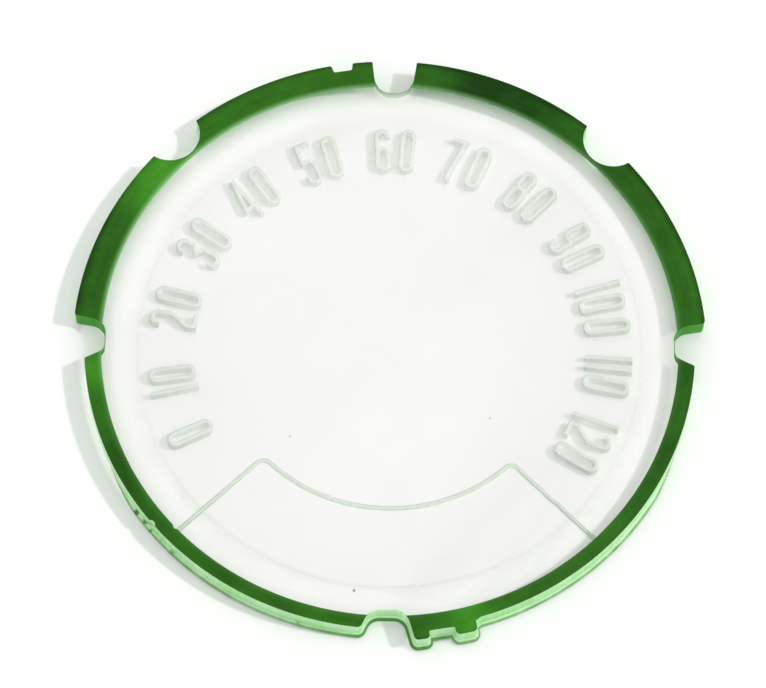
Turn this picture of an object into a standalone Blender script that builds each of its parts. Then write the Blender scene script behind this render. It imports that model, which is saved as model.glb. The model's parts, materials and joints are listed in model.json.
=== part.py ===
"""Edge-lit instrument dial lens: a clear plate with back-moulded numerals and a green rim coat.

Metres, +Z out of the front face, +Y toward the 12 o'clock notch, origin at the centre of the back face.
Driving dimensions below are in millimetres and degrees (counter-clockwise from 3 o'clock).
"""

import math

import bmesh
import bpy

MM = 0.001

# Plate
RIM_R = 76.0  # outer radius of the upper half
LOWER_R = 73.15  # the lower half is cut back to this radius...
LOWER_SHIFT = 0.92  # ...about a centre this far toward 12 o'clock
PLATE_TOP = 5.75
BOSS_R = 60.8  # seating boss on the back, which the numerals are moulded into
BOSS_H = 0.4  # the margin of the back stands this far above the boss face
BOSS_STEP = 5.0
ARC_STEP = 4.0  # degrees of rim to a segment
FILLET_STEP = 24.0
SAME_POINT = 0.02  # points nearer than this are one

# Green coat on the margin of the front face
COAT_INNER_R = 69.1
COAT_BOTTOM = 5.8
COAT_TOP = 6.0

# Rim features, each in its own frame: u runs counter-clockwise along the rim, v outward; the third
# number is the fillet at that corner
NOTCH_3 = ((-4.9, 73.0, 0.5), (-2.6, 68.3, 2.6), (5.1, 68.3, 4.2), (6.4, 75.73, 0.8))
NOTCH_12 = ((-6.1, 75.75, 0.3), (-4.9, 67.5, 4.2), (4.0, 67.5, 4.2), (4.9, 75.84, 0.3))
NOTCH_9 = ((-6.4, 75.73, 0.8), (-5.1, 68.3, 4.2), (2.6, 68.3, 2.6), (4.9, 73.0, 0.5))
NOTCH_6 = ((-6.3, 71.95, 1.2), (-4.4, 67.7, 3.8), (4.3, 67.7, 3.8))
TABS = (
    (-6.65, 74.9, 1.0), (-3.2, 74.95, 0.8), (-3.1, 73.1, 0.4),
    (3.0, 73.1, 0.4), (3.1, 75.15, 1.1), (8.15, 74.9, 1.1), (8.0, 72.45, 0.3),
)
TABS_ANGLE = 280.0
SLOT = ((-2.8, 75.95, 0.5), (-2.3, 74.1, 0.6), (2.15, 74.1, 0.6), (2.6, 75.96, 0.5))
SLOT_ANGLE = 99.5
SCALLOP_ANGLES = (45.5, 134.5)
SCALLOP_CENTRE_R = 77.4
SCALLOP_R = 7.25
SCALLOP_HALF_WIDTH = 7.0
SCALLOP_CORNER = 0.3
SCALLOP_SEGMENTS = 8

# Foot: at the back, the lower rim with its notch and tabs stands out past the front's edge
FOOT_OUT = 0.93
FOOT_BOTTOM = 0.45
FOOT_TOP = 1.5
FOOT_INNER_R = 64.0  # the foot's solid reaches this far into the plate
FOOT_ENDS = (200.0, 344.0)
FOOT_TAPER = 14.0  # degrees in which it comes out of the rim
FOOT_START = -0.6
SMALLEST_FILLET = 0.15

# Numerals, moulded into the back and read through the front
NUMERAL_R = 52.4  # to the middle of their height
NUMERAL_H = 11.5
NUMERAL_W = 3.8
STROKE = 1.1
NUMERAL_DEPTH = 3.2
WAIST = 0.5  # the bars and loops of 3, 5, 6, 8 and 9 meet this far above the middle
HOOK = 1.9  # length of the free ends of 2, 3, 5, 6 and 9
NARROW_PITCH = 2.6
WIDE_PITCH = 6.05
NUMERALS = (
    ("0", 206.0), ("10", 189.9), ("20", 169.6), ("30", 149.4), ("40", 129.4), ("50", 109.3), ("60", 89.0),
    ("70", 69.5), ("80", 50.1), ("90", 30.6), ("100", 11.4), ("110", 352.7), ("120", 332.6),
)

# Window line, a shallow groove in the back
WINDOW_R = 40.85
WINDOW_ANGLES = (223.7, 315.3)
WINDOW_OUTER_R = 70.5
WINDOW_LINE = 1.1
WINDOW_DEPTH = 0.9
WINDOW_FILLET = 2.2
WINDOW_STEP = 7.0

CUT_PAST = 0.6  # how far a cutter runs past the face that it cuts
SHARPEST_MITRE = 0.35


def polar(radius, degrees):
    angle = math.radians(degrees)
    return (radius * math.cos(angle), radius * math.sin(angle))


def placed(profile, degrees):
    """A rim feature's corners in plate coordinates."""
    cos_a, sin_a = math.cos(math.radians(degrees)), math.sin(math.radians(degrees))
    return [(v * cos_a - u * sin_a, v * sin_a + u * cos_a, fillet) for u, v, fillet in profile]


def arc(radius, start, end, step=ARC_STEP, centre_y=0.0):
    """Corners without fillets along an arc, both ends left out."""
    count = max(1, round(abs(end - start) / step))
    points = [polar(radius, start + (end - start) * i / count) for i in range(1, count)]
    return [(x, y + centre_y, 0.0) for x, y in points]


def unit(x, y):
    length = math.hypot(x, y)
    return x / length, y / length


def fillet_points(before, corner, after):
    """The points of one corner's fillet, or the corner itself when it has none."""
    x, y, radius = corner
    if radius == 0.0:
        return [(x, y)]
    ax, ay = unit(before[0] - x, before[1] - y)
    bx, by = unit(after[0] - x, after[1] - y)
    half = math.acos(max(-1.0, min(1.0, ax * bx + ay * by))) / 2
    reach = radius / math.tan(half)
    mx, my = unit(ax + bx, ay + by)
    cx, cy = x + mx * radius / math.sin(half), y + my * radius / math.sin(half)
    start = math.atan2(y + ay * reach - cy, x + ax * reach - cx)
    turn = math.atan2(y + by * reach - cy, x + bx * reach - cx) - start
    turn = (turn + math.pi) % (2 * math.pi) - math.pi
    count = max(1, math.ceil(abs(math.degrees(turn)) / FILLET_STEP))
    return [
        (cx + radius * math.cos(start + turn * i / count), cy + radius * math.sin(start + turn * i / count))
        for i in range(count + 1)
    ]


def rounded(corners, closed=True):
    """The outline of a polygon or path whose corners carry fillet radii."""
    points = []
    for i, corner in enumerate(corners):
        if not closed and i in (0, len(corners) - 1):
            points.append(corner[:2])
        else:
            points += fillet_points(corners[i - 1], corner, corners[(i + 1) % len(corners)])
    kept = points[:1]
    for point in points[1:]:
        if math.dist(point, kept[-1]) > SAME_POINT:
            kept.append(point)
    if closed and math.dist(kept[0], kept[-1]) <= SAME_POINT:
        kept.pop()
    return kept


def scallop():
    """Corners of the shallow arc cut, which opens with two small fillets."""
    half = math.asin(SCALLOP_HALF_WIDTH / SCALLOP_R)
    sweep = [half * (2 * i / SCALLOP_SEGMENTS - 1) for i in range(1, SCALLOP_SEGMENTS)]
    hollow = [(SCALLOP_R * math.sin(a), SCALLOP_CENTRE_R - SCALLOP_R * math.cos(a), 0.0) for a in sweep]
    edge = math.sqrt(RIM_R**2 - SCALLOP_HALF_WIDTH**2)
    first = (-SCALLOP_HALF_WIDTH, edge, SCALLOP_CORNER)
    last = (SCALLOP_HALF_WIDTH, edge, SCALLOP_CORNER)
    return [first] + hollow + [last]


def degrees_of(corner):
    return math.degrees(math.atan2(corner[1], corner[0])) % 360


def lower_arc(start, end):
    """The cut-back lower rim between two directions seen from the plate's centre."""
    return arc(LOWER_R, start, end, centre_y=LOWER_SHIFT)


def plate_outline():
    """The whole rim, counter-clockwise from the 3 o'clock notch."""
    features = [placed(NOTCH_3, 0.0), placed(scallop(), SCALLOP_ANGLES[0]), placed(NOTCH_12, 90.0)]
    features += [placed(SLOT, SLOT_ANGLE), placed(scallop(), SCALLOP_ANGLES[1]), placed(NOTCH_9, 180.0)]
    corners = []
    for feature, following in zip(features, features[1:]):
        corners += feature + arc(RIM_R, degrees_of(feature[-1]), degrees_of(following[0]))
    corners += features[-1]
    corners += lower_corners(degrees_of(features[-1][-1]), degrees_of(features[0][0]))
    return rounded(corners)


def lower_corners(start, end):
    """The lower rim between two directions, with the 6 o'clock notch and the tabs."""
    notch_6, tabs = placed(NOTCH_6, 270.0), placed(TABS, TABS_ANGLE)
    into, out_of = lower_arc(start, degrees_of(notch_6[0])), lower_arc(degrees_of(tabs[-1]), end)
    return into + notch_6 + tabs + out_of


def foot_width(x, y):
    """How far the foot stands out past the rim in a direction."""
    angle = degrees_of((x, y))
    grown = min(1.0, (angle - FOOT_ENDS[0]) / FOOT_TAPER, (FOOT_ENDS[1] - angle) / FOOT_TAPER)
    return FOOT_START + (FOOT_OUT - FOOT_START) * max(0.0, grown)


def foot_outline():
    """The lower rim moved outward, closed inside the plate."""
    corners = lower_corners(*FOOT_ENDS)
    moved = []
    for (x, y, fillet), ((ax, ay), (bx, by)) in zip(corners, directions([c[:2] for c in corners], False)):
        nx, ny = unit(ay + by, -(ax + bx))
        out = foot_width(x, y)
        reach = out / max(SHARPEST_MITRE, nx * ay - ny * ax)
        convex = ax * by - ay * bx > 0.0
        eased = max(SMALLEST_FILLET, fillet + (out if convex else -out)) if fillet else 0.0
        moved.append((x + nx * reach, y + ny * reach, eased))
    inside = [point[:2] for point in arc(FOOT_INNER_R, degrees_of(moved[-1]), degrees_of(moved[0]))]
    return rounded(moved, closed=False) + inside


def crossing(inside, outside, radius):
    """Where the straight line between two points crosses the circle about the plate's centre."""
    low, high = 0.0, 1.0
    for _ in range(40):
        middle = (low + high) / 2
        x = inside[0] + (outside[0] - inside[0]) * middle
        y = inside[1] + (outside[1] - inside[1]) * middle
        low, high = (middle, high) if math.hypot(x, y) < radius else (low, middle)
    return (x, y)


def coat_outlines(outline):
    """One outline for each stretch of rim that reaches past the coat's inner edge."""
    count = len(outline)
    outside = [math.hypot(x, y) > COAT_INNER_R for x, y in outline]
    starts = [i for i in range(count) if outside[i] and not outside[i - 1]]
    stretches = []
    for start in starts:
        points = [crossing(outline[start - 1], outline[start], COAT_INNER_R)]
        i = start
        while outside[i % count]:
            points.append(outline[i % count])
            i += 1
        points.append(crossing(outline[i % count], outline[(i - 1) % count], COAT_INNER_R))
        first, last = degrees_of(points[0]), degrees_of(points[-1])
        last = last + 360 if last < first else last
        stretches.append(points + [p[:2] for p in arc(COAT_INNER_R, last, first)])
    return stretches


def directions(points, closed):
    """(direction in, direction out) at each point of a path; an open path's ends have one of each."""
    count = len(points) if closed else len(points) - 1
    legs = [
        unit(points[(i + 1) % len(points)][0] - points[i][0], points[(i + 1) % len(points)][1] - points[i][1])
        for i in range(count)
    ]
    if closed:
        return [(legs[i - 1], legs[i]) for i in range(count)]
    return list(zip(legs[:1] + legs, legs + legs[-1:]))


def offset_path(points, distance, closed):
    """The path moved to its left by a distance, mitred at its corners."""
    moved = []
    for (x, y), ((ax, ay), (bx, by)) in zip(points, directions(points, closed)):
        nx, ny = unit(-(ay + by), ax + bx)
        reach = distance / max(SHARPEST_MITRE, ny * ax - nx * ay)
        moved.append((x + nx * reach, y + ny * reach))
    return moved


def stroke_loops(points, width, closed):
    """A line of this width as one loop, or as two loops round a closed path."""
    left, right = offset_path(points, width / 2, closed), offset_path(points, -width / 2, closed)
    return [left, right] if closed else [left + right[::-1]]


def digit_strokes(digit):
    """(corners with fillets, closed) for each stroke of a digit, about its middle."""
    w, h = (NUMERAL_W - STROKE) / 2, (NUMERAL_H - STROKE) / 2
    half, mid, lift = STROKE / 2, WAIST, HOOK
    loop = [(-w, -h, w), (w, -h, w), (w, mid, w), (-w, mid, w)]
    hook = [(w, h - lift, 0), (w, h, w), (-w, h, w), (-w, 0, 0)]
    over = [(-w, h - lift, 0), (-w, h, w), (w, h, w)]
    under = [(w, -h, w), (-w, -h, w), (-w, lift - h, 0)]
    strokes = {
        "0": [([(-w, -h, w), (w, -h, w), (w, h, w), (-w, h, w)], True)],
        "1": [([(0, -h - half, 0), (0, h + half, 0)], False)],
        "2": [(over + [(w, mid, 1.2), (-w, lift - h, 0.8), (-w, -h, 0), (w + half, -h, 0)], False)],
        "3": [(over + [(w, mid + 1.3, 0.9), (-0.3, mid, 0), (w, mid - 1.3, 0.9)] + under, False)],
        "4": [
            ([(w / 2, h, 0), (-w - 0.4, -h / 2, 0), (w + 0.6, -h / 2, 0)], False),
            ([(w / 2, h + half, 0), (w / 2, -h - half, 0)], False),
        ],
        "5": [([(w + half, h, 0), (-w, h, 0), (-w, mid, 0), (w, mid, w)] + under, False)],
        "6": [(loop, True), (hook, False)],
        "7": [([(-w - half, h, 0), (w, h, 0), (-w / 2, -h - half, 0)], False)],
        "8": [(loop, True), ([(-w, mid, w), (w, mid, w), (w, h, w), (-w, h, w)], True)],
        "9": [([(-x, -y, r) for x, y, r in loop], True), ([(-x, -y, r) for x, y, r in hook], False)],
    }
    return strokes[digit]


def numeral_layout(text, angle):
    """(digit, direction) for each digit of a numeral, set along the numeral circle."""
    pitches = [NARROW_PITCH if digit == "1" else WIDE_PITCH for digit in text]
    along = -sum(pitches) / 2
    for digit, pitch in zip(text, pitches):
        yield digit, angle - math.degrees((along + pitch / 2) / NUMERAL_R)
        along += pitch


def stood_on(points, direction):
    """A digit's points turned so that its top faces the rim, at the numeral circle."""
    cos_d, sin_d = math.cos(math.radians(direction)), math.sin(math.radians(direction))
    return [
        ((NUMERAL_R + y) * cos_d + x * sin_d, (NUMERAL_R + y) * sin_d - x * cos_d) for x, y in points
    ]


def numeral_loops():
    """The loops of every stroke of every numeral."""
    for text, angle in NUMERALS:
        for digit, direction in numeral_layout(text, angle):
            for corners, closed in digit_strokes(digit):
                path = rounded(corners, closed)
                yield [stood_on(loop, direction) for loop in stroke_loops(path, STROKE, closed)]


def window_loops():
    """The window line: in along one side, round the arc and out along the other side."""
    first, last = WINDOW_ANGLES
    corners = [polar(WINDOW_OUTER_R, first) + (0.0,), polar(WINDOW_R, first) + (WINDOW_FILLET,)]
    corners += arc(WINDOW_R, first, last, WINDOW_STEP)
    corners += [polar(WINDOW_R, last) + (WINDOW_FILLET,), polar(WINDOW_OUTER_R, last) + (0.0,)]
    return stroke_loops(rounded(corners, closed=False), WINDOW_LINE, closed=False)


def collection(name):
    made = bpy.data.collections.new(name)
    bpy.context.scene.collection.children.link(made)
    return made


def material(name, colour, roughness):
    made = bpy.data.materials.new(name)
    made.use_nodes = True
    shader = made.node_tree.nodes["Principled BSDF"]
    shader.inputs["Base Color"].default_value = (*colour, 1.0)
    shader.inputs["Roughness"].default_value = roughness
    shader.inputs["Metallic"].default_value = 0.0
    return made


def slab(name, loops, bottom, top, home, surface=None):
    """A flat solid between two heights, from a filled and extruded curve."""
    curve = bpy.data.curves.new(name, "CURVE")
    curve.dimensions = "2D"
    curve.fill_mode = "BOTH"
    curve.extrude = (top - bottom) / 2 * MM
    for loop in loops:
        spline = curve.splines.new("POLY")
        spline.points.add(len(loop) - 1)
        for point, (x, y) in zip(spline.points, loop):
            point.co = (x * MM, y * MM, 0.0, 1.0)
        spline.use_cyclic_u = True
    drawn = bpy.data.objects.new(name, curve)
    home.objects.link(drawn)
    graph = bpy.context.evaluated_depsgraph_get()
    mesh = bpy.data.meshes.new_from_object(drawn.evaluated_get(graph))
    bpy.data.objects.remove(drawn)
    weld(mesh)
    made = bpy.data.objects.new(name, mesh)
    made.location.z = (bottom + top) / 2 * MM
    home.objects.link(made)
    if surface:
        mesh.materials.append(surface)
    return made


def weld(mesh):
    """Joins the caps that a filled curve leaves loose from its sides, and faces them outward."""
    edit = bmesh.new()
    edit.from_mesh(mesh)
    bmesh.ops.remove_doubles(edit, verts=edit.verts, dist=1e-6)
    bmesh.ops.recalc_face_normals(edit, faces=edit.faces)
    edit.to_mesh(mesh)
    edit.free()


def boolean(target, other, operation):
    step = target.modifiers.new(f"{operation} {other.name}", "BOOLEAN")
    step.operation = operation
    step.solver = "EXACT"
    step.object = other


def hide(cutter):
    cutter.hide_render = True
    cutter.display_type = "WIRE"


def smooth(target, angle=40.0):
    target.data.shade_smooth()
    target.data.set_sharp_from_angle(angle=math.radians(angle))


def build_plate(outline, home, cutters, surface):
    plate = slab("dial_lens", [outline], BOSS_H, PLATE_TOP, home, surface)
    circle = [point[:2] for point in arc(BOSS_R, 0.0, 360.0 + BOSS_STEP, BOSS_STEP)]
    boss = slab("boss", [circle], 0.0, BOSS_H + CUT_PAST, cutters)
    foot = slab("foot", [foot_outline()], FOOT_BOTTOM, FOOT_TOP, cutters)
    for joined in (boss, foot):
        hide(joined)
        boolean(plate, joined, "UNION")
    for number, loops in enumerate(numeral_loops()):
        cutter = slab(f"numeral_cut_{number:02d}", loops, -CUT_PAST, NUMERAL_DEPTH, cutters)
        hide(cutter)
        boolean(plate, cutter, "DIFFERENCE")
    line = slab("window_cut", window_loops(), -CUT_PAST, WINDOW_DEPTH, cutters)
    hide(line)
    boolean(plate, line, "DIFFERENCE")
    smooth(plate)
    return plate


def build_coats(outline, home, surface):
    names = ("upper_right", "upper_left", "lower_left", "lower_right")
    for name, loop in zip(names, coat_outlines(outline)):
        smooth(slab(f"green_coat_{name}", [loop], COAT_BOTTOM, COAT_TOP, home, surface))


def main():
    for obj in list(bpy.data.objects):
        bpy.data.objects.remove(obj)
    home, cutters = collection("instrument_dial_lens"), collection("cutters")
    acrylic = material("clear_acrylic", (0.86, 0.93, 0.87), 0.05)
    green = material("green_coat", (0.035, 0.17, 0.02), 0.3)
    outline = plate_outline()
    build_plate(outline, home, cutters, acrylic)
    build_coats(outline, home, green)


main()
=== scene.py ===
"""Looks of the edge-lit instrument dial lens: clear acrylic plate, moulded numerals, green rim coat.

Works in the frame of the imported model. Lengths below are in millimetres and angles in degrees,
counter-clockwise from 3 o'clock, unless a name says otherwise.
"""

import json
import math

import bmesh
import bpy
from mathutils import Euler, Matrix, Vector

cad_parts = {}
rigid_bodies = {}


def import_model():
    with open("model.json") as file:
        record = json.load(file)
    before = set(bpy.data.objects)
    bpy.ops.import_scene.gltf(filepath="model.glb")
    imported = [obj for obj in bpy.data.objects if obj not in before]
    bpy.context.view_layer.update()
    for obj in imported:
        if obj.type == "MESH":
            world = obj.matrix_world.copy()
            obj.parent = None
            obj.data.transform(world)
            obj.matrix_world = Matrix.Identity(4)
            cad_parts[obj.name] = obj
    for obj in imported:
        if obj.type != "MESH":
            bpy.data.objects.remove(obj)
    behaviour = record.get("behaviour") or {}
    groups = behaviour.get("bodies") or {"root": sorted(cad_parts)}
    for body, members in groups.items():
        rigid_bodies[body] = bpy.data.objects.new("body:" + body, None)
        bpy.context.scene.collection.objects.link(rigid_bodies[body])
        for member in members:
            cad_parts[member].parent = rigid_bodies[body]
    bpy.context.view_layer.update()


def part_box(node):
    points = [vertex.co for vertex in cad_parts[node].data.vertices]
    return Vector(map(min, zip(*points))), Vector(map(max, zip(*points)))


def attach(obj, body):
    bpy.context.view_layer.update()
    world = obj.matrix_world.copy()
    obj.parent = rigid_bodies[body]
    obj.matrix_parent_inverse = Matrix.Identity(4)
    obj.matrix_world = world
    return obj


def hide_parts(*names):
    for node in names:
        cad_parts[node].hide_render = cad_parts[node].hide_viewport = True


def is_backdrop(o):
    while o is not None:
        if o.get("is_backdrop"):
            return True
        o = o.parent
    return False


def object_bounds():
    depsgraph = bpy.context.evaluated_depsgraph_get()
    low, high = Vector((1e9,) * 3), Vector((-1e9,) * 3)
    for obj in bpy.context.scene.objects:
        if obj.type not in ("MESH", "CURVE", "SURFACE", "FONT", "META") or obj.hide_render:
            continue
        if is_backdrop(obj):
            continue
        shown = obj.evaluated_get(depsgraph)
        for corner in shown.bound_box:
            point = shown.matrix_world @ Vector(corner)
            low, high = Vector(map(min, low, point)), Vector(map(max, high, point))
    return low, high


MM = 0.001

# The plate's outline, as in the CAD
RIM_R = 76.0
LOWER_R = 73.15
LOWER_SHIFT = 0.92
BOSS_R = 60.8
BOSS_H = 0.4
COAT_INNER_R = 69.1
ARC_STEP = 1.0
FILLET_STEP = 11.0
SAME_POINT = 0.02
NOTCH_3 = ((-4.9, 73.0, 0.5), (-2.6, 68.3, 2.6), (5.1, 68.3, 4.2), (6.4, 75.73, 0.8))
NOTCH_12 = ((-6.1, 75.75, 0.3), (-4.9, 67.5, 4.2), (4.0, 67.5, 4.2), (4.9, 75.84, 0.3))
NOTCH_9 = ((-6.4, 75.73, 0.8), (-5.1, 68.3, 4.2), (2.6, 68.3, 2.6), (4.9, 73.0, 0.5))
NOTCH_6 = ((-6.3, 71.95, 1.2), (-4.4, 67.7, 3.8), (4.3, 67.7, 3.8))
TABS = (
    (-6.65, 74.9, 1.0), (-3.2, 74.95, 0.8), (-3.1, 73.1, 0.4),
    (3.0, 73.1, 0.4), (3.1, 75.15, 1.1), (8.15, 74.9, 1.1), (8.0, 72.45, 0.3),
)
TABS_ANGLE = 280.0
SLOT = ((-2.8, 75.95, 0.5), (-2.3, 74.1, 0.6), (2.15, 74.1, 0.6), (2.6, 75.96, 0.5))
SLOT_ANGLE = 99.5
SCALLOP_ANGLES = (45.5, 134.5)
SCALLOP_CENTRE_R = 77.4
SCALLOP_R = 7.25
SCALLOP_HALF_WIDTH = 7.0
SCALLOP_CORNER = 0.3
SCALLOP_SEGMENTS = 24

# Foot at the back of the lower rim, as in the CAD
FOOT_OUT = 0.93
FOOT_ENDS = (200.0, 344.0)
FOOT_TAPER = 14.0
FOOT_START = -0.6
SMALLEST_FILLET = 0.15

# Numerals and window line, as in the CAD
NUMERAL_R = 52.4
NUMERAL_H = 11.5
NUMERAL_W = 3.8
STROKE = 1.1
NUMERAL_DEPTH = 3.2
WAIST = 0.5  # the height of a digit's waist over its middle
HOOK = 1.9  # how far a digit's open end stands from its top or bottom
TWO_NECK, TWO_HEEL = 1.2, 0.8  # fillets
THREE_LOBE, THREE_FILLET, THREE_WAIST_X = 1.3, 0.9, -0.3
FOUR_PAST_LEFT, FOUR_PAST_RIGHT = 0.4, 0.6
NARROW_PITCH = 2.6
WIDE_PITCH = 6.05
NUMERALS = (
    ("0", 206.0), ("10", 189.9), ("20", 169.6), ("30", 149.4), ("40", 129.4),
    ("50", 109.3), ("60", 89.0), ("70", 69.5), ("80", 50.1), ("90", 30.6),
    ("100", 11.4), ("110", 352.7), ("120", 332.6),
)
WINDOW_R = 40.85
WINDOW_ANGLES = (223.7, 315.3)
WINDOW_OUTER_R = 70.5
WINDOW_LINE = 1.1
WINDOW_DEPTH = 0.9
WINDOW_FILLET = 2.2
WINDOW_STEP = 2.0

# Finish that the CAD leaves out. Round each edge: (inset from the outline, drop below the edge)
EDGE_ROUND = ((0.0, 0.24), (0.04, 0.12), (0.12, 0.04), (0.24, 0.0))
GROOVE_ROUND = ((0.0, 0.4), (0.03, 0.22), (0.1, 0.09), (0.2, 0.02), (0.34, 0.0))
WINDOW_ROUND = ((0.0, 0.5), (0.04, 0.3), (0.12, 0.13), (0.24, 0.03), (0.38, 0.0))
COAT_ROUND = ((0.0, 0.14), (0.04, 0.04), (0.14, 0.0))
# Along the boss's eased edge: (inset from the edge, height above the boss's face)
BOSS_EASE = ((1.3, 0.0), (1.1, 0.02), (0.7, 0.12), (0.3, 0.27), (0.08, 0.36), (0.0, 0.4))
# Up the foot's step: (share of the way out to the foot, height above the back)
FOOT_PROFILE = ((1.0, 0.95), (0.94, 1.12), (0.8, 1.27), (0.55, 1.4), (0.25, 1.49), (0.0, 1.58))
FOOT_TOP = 1.5  # where the foot's finish ends
COAT_OVERHANG = 0.015
COAT_NICKS = ((220.2, 72.4, 0.85, 0.6), (223.7, 69.1, 0.6, -0.35))  # (angle, radius, half width, depth)
NICK_REACH = 3.0
NICK_STEEPNESS = 4
NICK_POINTS = 8
COAT_SINK = 0.1  # the coat is bonded this far into the plate's face
CUT_PAST = 0.6
SHARPEST_MITRE = 0.35
CROSSING_STEPS = 40
FLAT = 0.9999  # a face whose normal is this near vertical is flat
SHARP = 32.0

# The plate's and the coat's finishes by material index, and where the notches that have their own lie
CLEAR, WALL, SIDE_NOTCH, FOOT, TOP_NOTCH = range(5)
COAT_OUTSIDE, COAT_INSIDE = range(2)
NOTCH_HALF_WIDTH = 7.0
NOTCHES_FROM = 60.0


def polar(radius, degrees):
    angle = math.radians(degrees)
    return (radius * math.cos(angle), radius * math.sin(angle))


def placed(profile, degrees):
    """A rim feature's corners in plate coordinates."""
    cos_a, sin_a = math.cos(math.radians(degrees)), math.sin(math.radians(degrees))
    return [(v * cos_a - u * sin_a, v * sin_a + u * cos_a, fillet) for u, v, fillet in profile]


def arc(radius, start, end, step=ARC_STEP, centre_y=0.0):
    """Corners without fillets along an arc, both ends left out."""
    count = max(1, round(abs(end - start) / step))
    points = [polar(radius, start + (end - start) * i / count) for i in range(1, count)]
    return [(x, y + centre_y, 0.0) for x, y in points]


def unit(x, y):
    length = math.hypot(x, y)
    return x / length, y / length


def fillet_points(before, corner, after):
    """The points of one corner's fillet, or the corner itself when it has none."""
    x, y, radius = corner
    if radius == 0.0:
        return [(x, y)]
    ax, ay = unit(before[0] - x, before[1] - y)
    bx, by = unit(after[0] - x, after[1] - y)
    half = math.acos(max(-1.0, min(1.0, ax * bx + ay * by))) / 2
    reach = radius / math.tan(half)
    mx, my = unit(ax + bx, ay + by)
    cx, cy = x + mx * radius / math.sin(half), y + my * radius / math.sin(half)
    start = math.atan2(y + ay * reach - cy, x + ax * reach - cx)
    turn = math.atan2(y + by * reach - cy, x + bx * reach - cx) - start
    turn = (turn + math.pi) % (2 * math.pi) - math.pi
    count = max(1, math.ceil(abs(math.degrees(turn)) / FILLET_STEP))
    turns = [start + turn * i / count for i in range(count + 1)]
    return [(cx + radius * math.cos(a), cy + radius * math.sin(a)) for a in turns]


def rounded(corners, closed=True):
    """The outline of a polygon or path whose corners carry fillet radii."""
    points = []
    for i, corner in enumerate(corners):
        if not closed and i in (0, len(corners) - 1):
            points.append(corner[:2])
        else:
            points += fillet_points(corners[i - 1], corner, corners[(i + 1) % len(corners)])
    kept = points[:1]
    for point in points[1:]:
        if math.dist(point, kept[-1]) > SAME_POINT:
            kept.append(point)
    if closed and math.dist(kept[0], kept[-1]) <= SAME_POINT:
        kept.pop()
    return kept


def scallop():
    """Corners of the shallow arc cut, which opens with two small fillets."""
    half = math.asin(SCALLOP_HALF_WIDTH / SCALLOP_R)
    sweep = [half * (2 * i / SCALLOP_SEGMENTS - 1) for i in range(1, SCALLOP_SEGMENTS)]
    hollow = [(SCALLOP_R * math.sin(a), SCALLOP_CENTRE_R - SCALLOP_R * math.cos(a), 0.0) for a in sweep]
    edge = math.sqrt(RIM_R**2 - SCALLOP_HALF_WIDTH**2)
    first = (-SCALLOP_HALF_WIDTH, edge, SCALLOP_CORNER)
    last = (SCALLOP_HALF_WIDTH, edge, SCALLOP_CORNER)
    return [first] + hollow + [last]


def degrees_of(corner):
    return math.degrees(math.atan2(corner[1], corner[0])) % 360


def lower_arc(start, end):
    """The cut-back lower rim between two directions seen from the plate's centre."""
    return arc(LOWER_R, start, end, centre_y=LOWER_SHIFT)


def plate_corners():
    """The whole rim's corners, counter-clockwise from the 3 o'clock notch."""
    features = [placed(NOTCH_3, 0.0), placed(scallop(), SCALLOP_ANGLES[0]), placed(NOTCH_12, 90.0)]
    features += [placed(SLOT, SLOT_ANGLE), placed(scallop(), SCALLOP_ANGLES[1]), placed(NOTCH_9, 180.0)]
    corners = []
    for feature, following in zip(features, features[1:]):
        corners += feature + arc(RIM_R, degrees_of(feature[-1]), degrees_of(following[0]))
    corners += features[-1]
    notch_6, tabs = placed(NOTCH_6, 270.0), placed(TABS, TABS_ANGLE)
    corners += lower_arc(degrees_of(features[-1][-1]), degrees_of(notch_6[0])) + notch_6 + tabs
    return corners + lower_arc(degrees_of(tabs[-1]), degrees_of(features[0][0]))


def plate_outline():
    return rounded(plate_corners())


def foot_width(x, y):
    """How far the foot stands out past the rim in a direction."""
    angle = degrees_of((x, y))
    grown = min(1.0, (angle - FOOT_ENDS[0]) / FOOT_TAPER, (FOOT_ENDS[1] - angle) / FOOT_TAPER)
    return max(0.0, FOOT_START + (FOOT_OUT - FOOT_START) * grown)


def foot_outline():
    """The rim at the back, with as many points as at the front: moved outward along the foot."""
    corners = plate_corners()
    moved = []
    for (x, y, fillet), ((ax, ay), (bx, by)) in zip(corners, directions([c[:2] for c in corners], True)):
        nx, ny = unit(ay + by, -(ax + bx))
        out = foot_width(x, y)
        reach = out / max(SHARPEST_MITRE, nx * ay - ny * ax)
        convex = ax * by - ay * bx > 0.0
        eased = max(SMALLEST_FILLET, fillet + (out if convex else -out)) if fillet else 0.0
        moved.append((x + nx * reach, y + ny * reach, eased))
    return rounded(moved)


def between(first, second, share):
    """The outline this share of the way from one to another of as many points."""
    pairs = zip(first, second)
    return [(ax + (bx - ax) * share, ay + (by - ay) * share) for (ax, ay), (bx, by) in pairs]


def crossing(inside, outside, radius):
    """Where the straight line between two points crosses the circle about the plate's centre."""
    low, high = 0.0, 1.0
    for _ in range(CROSSING_STEPS):
        middle = (low + high) / 2
        x = inside[0] + (outside[0] - inside[0]) * middle
        y = inside[1] + (outside[1] - inside[1]) * middle
        low, high = (middle, high) if math.hypot(x, y) < radius else (low, middle)
    return (x, y)


def coat_outlines(outline):
    """One outline for each stretch of rim that reaches past the coat's inner edge."""
    count = len(outline)
    outside = [math.hypot(x, y) > COAT_INNER_R for x, y in outline]
    starts = [i for i in range(count) if outside[i] and not outside[i - 1]]
    stretches = []
    for start in starts:
        points = [crossing(outline[start - 1], outline[start], COAT_INNER_R)]
        i = start
        while outside[i % count]:
            points.append(outline[i % count])
            i += 1
        points.append(crossing(outline[i % count], outline[(i - 1) % count], COAT_INNER_R))
        first, last = degrees_of(points[0]), degrees_of(points[-1])
        last = last + 360 if last < first else last
        inner = [p[:2] for p in arc(COAT_INNER_R, last, first)]
        stretches.append(nicked(apart(points + inner)))
    return stretches


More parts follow.
